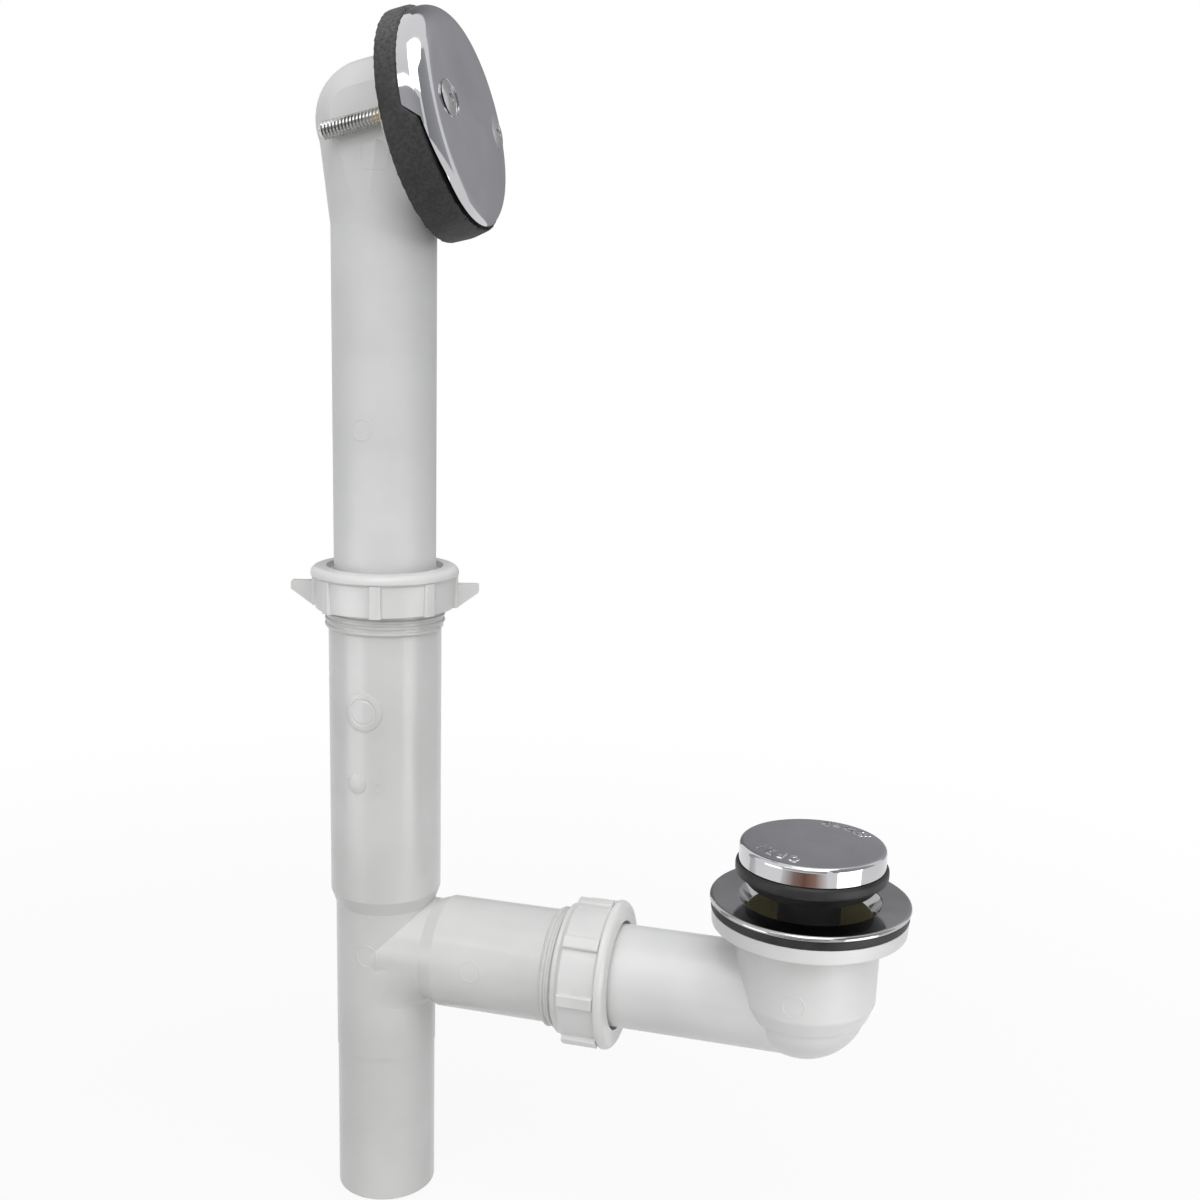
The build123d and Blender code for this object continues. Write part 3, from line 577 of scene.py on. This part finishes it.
def screw_tree():
    """Node tree of the screw pair: a blank with its rolled thread, set at both holes."""
    tree = bpy.data.node_groups.new("screw pair", "GeometryNodeTree")
    tree.interface.new_socket("Blank", in_out="INPUT", socket_type="NodeSocketGeometry")
    for label, kind in (
        ("Radius", "NodeSocketFloat"),
        ("Pitch", "NodeSocketFloat"),
        ("Turns", "NodeSocketFloat"),
        ("Ridge", "NodeSocketFloat"),
        ("Corners", "NodeSocketInt"),
        ("Tip", "NodeSocketVector"),
        ("First Hole", "NodeSocketVector"),
        ("Next Hole", "NodeSocketVector"),
        ("Finish", "NodeSocketMaterial"),
    ):
        tree.interface.new_socket(label, in_out="INPUT", socket_type=kind)
    tree.interface.new_socket("Screws", in_out="OUTPUT", socket_type="NodeSocketGeometry")
    nodes = tree.nodes
    links = tree.links
    given = nodes.new("NodeGroupInput").outputs
    rolled = nodes.new("GeometryNodeGroup")
    rolled.node_tree = thread_ridge
    for label in ("Radius", "Pitch", "Turns", "Ridge", "Corners", "Finish"):
        links.new(given[label], rolled.inputs[label])
    lift = nodes.new("GeometryNodeTransform")
    links.new(rolled.outputs["Thread"], lift.inputs["Geometry"])
    links.new(given["Tip"], lift.inputs["Translation"])
    screw = nodes.new("GeometryNodeJoinGeometry")
    links.new(given["Blank"], screw.inputs["Geometry"])
    links.new(lift.outputs["Geometry"], screw.inputs["Geometry"])
    holes = nodes.new("GeometryNodeMeshLine")
    holes.inputs["Count"].default_value = 2
    links.new(given["First Hole"], holes.inputs["Start Location"])
    links.new(given["Next Hole"], holes.inputs["Offset"])
    pair = nodes.new("GeometryNodeInstanceOnPoints")
    links.new(holes.outputs["Mesh"], pair.inputs["Points"])
    links.new(screw.outputs["Geometry"], pair.inputs["Instance"])
    whole = nodes.new("GeometryNodeRealizeInstances")
    links.new(pair.outputs["Instances"], whole.inputs["Geometry"])
    coat = nodes.new("GeometryNodeSetMaterial")
    links.new(whole.outputs["Geometry"], coat.inputs["Geometry"])
    links.new(given["Finish"], coat.inputs["Material"])
    links.new(coat.outputs["Geometry"], nodes.new("NodeGroupOutput").inputs["Screws"])
    return tree


screw_steel = plated_metal("plated steel", STEEL_SHADE, STEEL_LIGHT, gloss=0.16, ripple=0.05)
seat = PLATE_H - PLATE_CROWN_R + sqrt(PLATE_CROWN_R**2 - (SCREW_SPACING / 2) ** 2)
thread_length = SCREW_LENGTH - SCREW_HEAD_H - ROLL_STOP
screw_sizes = {
    "Radius": SCREW_CORE_R * MM,
    "Pitch": SCREW_PITCH * MM,
    "Turns": thread_length / SCREW_PITCH,
    "Ridge": (SCREW_R - SCREW_CORE_R) * MM,
    "Corners": ROLL_CORNERS,
    "Tip": Vector((0, 0, seat - SCREW_LENGTH + ROLL_START)) * MM,
    "First Hole": Vector((-SCREW_SPACING / 2, 0, 0)) * MM,
    "Next Hole": Vector((SCREW_SPACING, 0, 0)) * MM,
    "Finish": screw_steel,
}
screws = grown_mesh("plate_screws", screw_tree(), screw_sizes, screw_blank(seat))
outward_faces(screws, crease=35)
screws.transform(plate_place())
fit_piece("plate_screws", screws, "overflow", "screw_steel", "overflow_screws")


# Waste shoe: tube, cup and flange in one white moulding that slides in the tee's branch.
# A flat rubber washer lies on its flange and takes the drain's clamping.
SHOE_SHADE = (0.65, 0.65, 0.64)
SHOE_LIGHT = (0.72, 0.72, 0.71)
RUBBER_SHADE = (0.009, 0.009, 0.0095)
RUBBER_LIGHT = (0.022, 0.022, 0.023)
RUBBER_VOXEL = 0.5 * MM
RUBBER_SHEEN = 0.35


def moulded_rubber(name, shade, light, gloss):
    """Smooth moulded rubber: bloom in faint patches over a fine matt grain."""
    material, nodes, links, shader, place = node_material(name)
    bloom = noise_field(nodes, links, place, scale=90, detail=4)
    links.new(two_tones(nodes, links, bloom, shade, light), shader.inputs["Base Color"])
    links.new(between(nodes, links, bloom, gloss, gloss + 0.15), shader.inputs["Roughness"])
    grain = noise_field(nodes, links, place, scale=1100, detail=2)
    roughen(nodes, links, shader, grain, strength=0.1, depth=0.3 * MM)
    shader.inputs["Specular IOR Level"].default_value = RUBBER_SHEEN
    return material


white_shoe = moulded_plastic("white shoe plastic", SHOE_SHADE, SHOE_LIGHT, gloss=0.3)
black_rubber = moulded_rubber("black rubber", RUBBER_SHADE, RUBBER_LIGHT, gloss=0.4)
finish_node("waste_shoe", white_shoe)
flat_washer = eased_copy(
    "drain_washer", "shoe_gasket", RUBBER_VOXEL, passes=3, finish=black_rubber
)
fit_piece("drain_washer", flat_washer, "shoe", "black_rubber", "shoe_gasket")
CUP_RING = (164.7, -26, 110.8)
ring = ring_outline(radius=4.0, width=0.7)
mould_mark("cup_ring", "waste_shoe", "shoe", "white_pipe", CUP_RING, NEAR, ring, white_shoe)


# Drain strainer: cast brass flange and barrel with cross bars, chromed and screwed into the shoe.
# A brass post with a steel cross pin stands in its boss.
DRAIN_SHADE = (0.40, 0.40, 0.40)
DRAIN_LIGHT = (0.50, 0.50, 0.51)
BARE_BRASS = (0.72, 0.69, 0.52)
BARE_ROUGH = 0.5
BARE_BELOW_Z = 136.2 * MM
PLATED_ABOVE_Z = 137.0 * MM


def drain_metal(name):
    """Chromed brass whose plating thins out to dull brass down inside the barrel."""
    material = plated_metal(name, DRAIN_SHADE, DRAIN_LIGHT, gloss=0.06, ripple=0.02)
    nodes = material.node_tree.nodes
    links = material.node_tree.links
    shader = nodes["Principled BSDF"]
    height = nodes.new("ShaderNodeSeparateXYZ")
    links.new(nodes.new("ShaderNodeTexCoord").outputs["Object"], height.inputs["Vector"])
    plating = nodes.new("ShaderNodeMapRange")
    plating.inputs["From Min"].default_value = BARE_BELOW_Z
    plating.inputs["From Max"].default_value = PLATED_ABOVE_Z
    links.new(height.outputs["Z"], plating.inputs["Value"])
    for label, bare in (("Base Color", BARE_BRASS), ("Roughness", (BARE_ROUGH,) * 3)):
        plated = shader.inputs[label].links[0].from_socket
        mix = nodes.new("ShaderNodeMixRGB")
        mix.inputs["Color1"].default_value = (*bare, 1)
        links.new(plated, mix.inputs["Color2"])
        links.new(plating.outputs["Result"], mix.inputs["Fac"])
        links.new(mix.outputs["Color"], shader.inputs[label])
    return material


drain_chrome = drain_metal("drain chrome")
finish_node("drain_strainer", drain_chrome)
finish_node("stopper_post", insert_brass)
finish_node("cam_pin", screw_steel)


# Stopper: a black plastic sleeve on the post carries a thick moulded rubber seal.
# It slides down the post, and the seal then closes the drain at its bevelled seat.
DARK_SHADE = (0.020, 0.020, 0.022)
DARK_LIGHT = (0.035, 0.035, 0.038)
dark_plastic = moulded_plastic("dark plastic", DARK_SHADE, DARK_LIGHT, gloss=0.45)
finish_node("stopper_sleeve", dark_plastic)
seal = eased_copy("seal_ring", "stopper_seal", RUBBER_VOXEL, passes=3, finish=black_rubber)
fit_piece("seal_ring", seal, "stopper", "black_rubber", "stopper_seal")


# Stopper cap: a chromed pressing with OPEN and CLOSE raised near its rim.
# Its slotted plastic hub screws the stopper down on the pin, and a wire clip keeps the hub in.
DRAIN_X = 165.6
CAP_TOP_Z = 164.0
CAP_CROWN_R = 193.0
WORD_R = 20.2
WORD_SIZE = 5.8
WORD_SPACING = 1.32
WORD_RAISE = 0.3
WORD_SINK = 0.3
WORD_THIN = 0.05
WORD_BEVEL = 0.11


def cap_word(word, turn):
    """A word raised on the cap, its letters standing outwards along the rim about a turn."""
    font = bpy.data.curves.new(word, "FONT")
    font.body = word
    font.size = WORD_SIZE
    font.space_character = WORD_SPACING
    font.align_x = "CENTER"
    font.align_y = "CENTER"
    font.extrude = (WORD_RAISE + WORD_SINK) / 2
    font.bevel_depth = WORD_BEVEL
    font.offset = -WORD_THIN
    font.bevel_resolution = 1
    working = bpy.data.objects.new(word, font)
    bpy.context.scene.collection.objects.link(working)
    mesh = settled_mesh(working)
    for point in mesh.vertices:
        radius = WORD_R + point.co.y
        angle = turn - point.co.x / WORD_R
        crown = CAP_TOP_Z - CAP_CROWN_R + sqrt(CAP_CROWN_R**2 - radius**2)
        height = crown + point.co.z + (WORD_RAISE - WORD_SINK) / 2
        point.co = Vector((DRAIN_X + radius * cos(angle), radius * sin(angle), height)) * MM
    mesh.materials.clear()
    mesh.materials.append(chrome)
    outward_faces(mesh, crease=35)
    fit_piece("word_" + word.lower(), mesh, "cap", "chrome_plate")


finish_node("cap_hub", dark_plastic)
finish_node("hub_clip", screw_steel)
finish_node("stopper_cap", chrome)
cap_word("OPEN", turn=radians(-120))
cap_word("CLOSE", turn=radians(60))


# Studio: pale floor, white surround and soft lamps, seen from the photograph's place.
# Cards that only mirrors see give chrome and gloss their greys, whites and one warm patch.
PHOTO_PX = 1200
FOCAL_PX = 1435.85
SENSOR = 36.0
EYE = Vector((221.1, -491.85, 341.1)) * MM
YAW = radians(15.55)
PITCH = radians(10.72)
ROLL = radians(1.43)
MIRRORED_LAMP = 0.5
FLOOR_R = 6.0
FLOOR_DROP = 0.5 * MM
FLOOR_TONE = (0.5, 0.5, 0.5, 1)
FLOOR_ROUGH = 0.9
SHADOW_NEAR = 0.15
SHADOW_FAR = 0.7
WHITE_NEAR = 0.92
AIM = (0.08, 0, 0.2)
SURROUND_TONE = (0.75, 0.77, 0.8, 1)
SURROUND_LEVEL = 0.4


def photo_camera():
    """Camera at the photograph's place, found from the tubes and flanges seen in it."""
    data = bpy.data.cameras.new("photo camera")
    data.sensor_width = SENSOR
    data.lens = FOCAL_PX / PHOTO_PX * SENSOR
    data.clip_start = 0.01
    camera = bpy.data.objects.new("photo camera", data)
    ahead = Vector((-sin(YAW) * cos(PITCH), cos(YAW) * cos(PITCH), -sin(PITCH)))
    level = ahead.cross(Vector((0, 0, 1))).normalized()
    rise = level.cross(ahead)
    right = level * cos(ROLL) + rise * sin(ROLL)
    up = rise * cos(ROLL) - level * sin(ROLL)
    turn = Matrix((right, up, -ahead)).transposed()
    camera.matrix_world = Matrix.Translation(EYE) @ turn.to_4x4()
    bpy.context.scene.collection.objects.link(camera)
    bpy.context.scene.camera = camera


def soft_lamp(name, place, target, size, watts):
    """Square area lamp at a place, turned to a target. The small ones don't show in mirrors."""
    data = bpy.data.lights.new(name, "AREA")
    data.size = size
    data.energy = watts
    lamp = bpy.data.objects.new(name, data)
    lamp.location = place
    lamp.rotation_euler = (Vector(target) - Vector(place)).to_track_quat("-Z", "Y").to_euler()
    lamp.visible_camera = False
    lamp.visible_glossy = size > MIRRORED_LAMP
    bpy.context.scene.collection.objects.link(lamp)


def seen_rays(nodes, links):
    """1 for camera, mirror and see-through rays, 0 for the rays that light the object."""
    rays = nodes.new("ShaderNodeLightPath")
    seen = rays.outputs["Is Camera Ray"]
    for kind in ("Is Glossy Ray", "Is Transmission Ray"):
        either = nodes.new("ShaderNodeMath")
        either.operation = "MAXIMUM"
        links.new(seen, either.inputs[0])
        links.new(rays.outputs[kind], either.inputs[1])
        seen = either.outputs["Value"]
    return seen


def pale_floor(height):
    """Wide floor under the tail, white to the camera but for a share of shadow kept nearby."""
    mesh = bpy.data.meshes.new("floor")
    form = bmesh.new()
    bmesh.ops.create_circle(form, cap_ends=True, radius=FLOOR_R, segments=96)
    bmesh.ops.translate(form, verts=form.verts, vec=(0, 0, height))
    form.to_mesh(mesh)
    form.free()
    floor = bpy.data.objects.new("floor", mesh)
    bpy.context.scene.collection.objects.link(floor)
    material, nodes, links, shader, place = node_material("pale floor")
    shader.inputs["Base Color"].default_value = FLOOR_TONE
    shader.inputs["Roughness"].default_value = FLOOR_ROUGH
    glow = nodes.new("ShaderNodeEmission")
    reach = nodes.new("ShaderNodeVectorMath")
    reach.operation = "LENGTH"
    links.new(place, reach.inputs[0])
    fade = nodes.new("ShaderNodeMapRange")
    fade.inputs["From Min"].default_value = SHADOW_NEAR
    fade.inputs["From Max"].default_value = SHADOW_FAR
    fade.inputs["To Min"].default_value = WHITE_NEAR
    fade.inputs["To Max"].default_value = 1.0
    links.new(reach.outputs["Value"], fade.inputs["Value"])
    share = nodes.new("ShaderNodeMath")
    share.operation = "MULTIPLY"
    links.new(seen_rays(nodes, links), share.inputs[0])
    links.new(fade.outputs["Result"], share.inputs[1])
    mix = nodes.new("ShaderNodeMixShader")
    links.new(share.outputs["Value"], mix.inputs["Fac"])
    links.new(shader.outputs["BSDF"], mix.inputs[1])
    links.new(glow.outputs["Emission"], mix.inputs[2])
    links.new(mix.outputs["Shader"], nodes["Material Output"].inputs["Surface"])
    mesh.materials.append(material)


def mirror_card(name, corners, tones):
    """Studio card between four corners that only mirrors see. Its tones run evenly along X."""
    mesh = bpy.data.meshes.new(name)
    mesh.from_pydata(corners, [], [(0, 1, 2, 3)])
    material, nodes, links, _, place = node_material(name)
    spread = nodes.new("ShaderNodeSeparateXYZ")
    links.new(place, spread.inputs["Vector"])
    share = nodes.new("ShaderNodeMapRange")
    share.inputs["From Min"].default_value = corners[0][0]
    share.inputs["From Max"].default_value = corners[1][0]
    links.new(spread.outputs["X"], share.inputs["Value"])
    ramp = nodes.new("ShaderNodeValToRGB")
    stops = ramp.color_ramp.elements
    while len(stops) < len(tones):
        stops.new(0.5)
    for step, tone in enumerate(tones):
        stops[step].position = step / (len(tones) - 1)
        stops[step].color = (*tone, 1)
    links.new(share.outputs["Result"], ramp.inputs["Fac"])
    glow = nodes.new("ShaderNodeEmission")
    links.new(ramp.outputs["Color"], glow.inputs["Color"])
    links.new(glow.outputs["Emission"], nodes["Material Output"].inputs["Surface"])
    mesh.materials.append(material)
    card = bpy.data.objects.new(name, mesh)
    bpy.context.scene.collection.objects.link(card)
    card.visible_camera = False
    card.visible_diffuse = False
    card.visible_shadow = False
    card.visible_transmission = False


def upright(left, right, low, high):
    """Corners of a card that stands between two floor points."""
    return [(*left, low), (*right, low), (*right, high), (*left, high)]


photo_camera()
pale_floor(-FLOOR_DROP)
soft_lamp("top lamp", (0.45, -0.75, 1.7), AIM, size=1.5, watts=16.5)
soft_lamp("front lamp", (-0.35, -1.7, 0.9), (0.08, 0, 0.25), size=1.4, watts=10)
soft_lamp("right lamp", (1.1, -0.4, 0.8), (0.05, 0, 0.25), size=0.4, watts=2.2)
soft_lamp("drain lamp", (0.29, -0.11, 0.085), (0.17, 0, 0.1), size=0.08, watts=0.06)
soft_lamp("back lamp", (0.2, 1.9, 1.2), AIM, size=1.4, watts=13)
mirror_card(
    "far side",
    upright((-1.2, 1.5), (1.6, 1.5), low=0.002, high=3.0),
    tones=((0.15, 0.15, 0.16), (0.56, 0.56, 0.58)),
)
mirror_card(
    "near side",
    upright((-1.0, -1.3), (0.9, -1.3), low=0.002, high=1.1),
    tones=((0.6, 0.6, 0.61), (0.42, 0.42, 0.43)),
)
mirror_card(
    "right side",
    upright((0.75, -0.75), (1.4, 0.55), low=0.25, high=2.4),
    tones=((0.32, 0.33, 0.34), (0.5, 0.5, 0.52)),
)
mirror_card(
    "left window",
    upright((-0.382, -0.238), (-0.154, -0.423), low=0.01, high=0.2),
    tones=((3.0, 3.0, 3.0),) * 2,
)
mirror_card(
    "right window",
    upright((0.39, -0.225), (0.449, -0.027), low=0.01, high=0.2),
    tones=((3.4, 3.4, 3.4),) * 2,
)
mirror_card(
    "table edge",
    [(-0.1, -0.75, 0.001), (0.38, -0.75, 0.001), (0.38, -0.24, 0.001), (-0.1, -0.24, 0.001)],
    tones=(
        (0.75, 0.74, 0.73),
        (0.3, 0.21, 0.18),
        (0.2, 0.1, 0.07),
        (0.34, 0.22, 0.18),
        (0.85, 0.84, 0.84),
    ),
)

world = bpy.data.worlds.new("studio surround")
bpy.context.scene.world = world
world.use_nodes = True
world_nodes = world.node_tree.nodes
world_links = world.node_tree.links
surround = world_nodes["Background"]
surround.inputs["Color"].default_value = SURROUND_TONE
surround.inputs["Strength"].default_value = SURROUND_LEVEL
white = world_nodes.new("ShaderNodeBackground")
white.inputs["Color"].default_value = (1, 1, 1, 1)
world_mix = world_nodes.new("ShaderNodeMixShader")
world_links.new(seen_rays(world_nodes, world_links), world_mix.inputs["Fac"])
world_links.new(surround.outputs["Background"], world_mix.inputs[1])
world_links.new(white.outputs["Background"], world_mix.inputs[2])
world_links.new(world_mix.outputs["Shader"], world_nodes["World Output"].inputs["Surface"])

bpy.context.scene.view_settings.view_transform = "Standard"
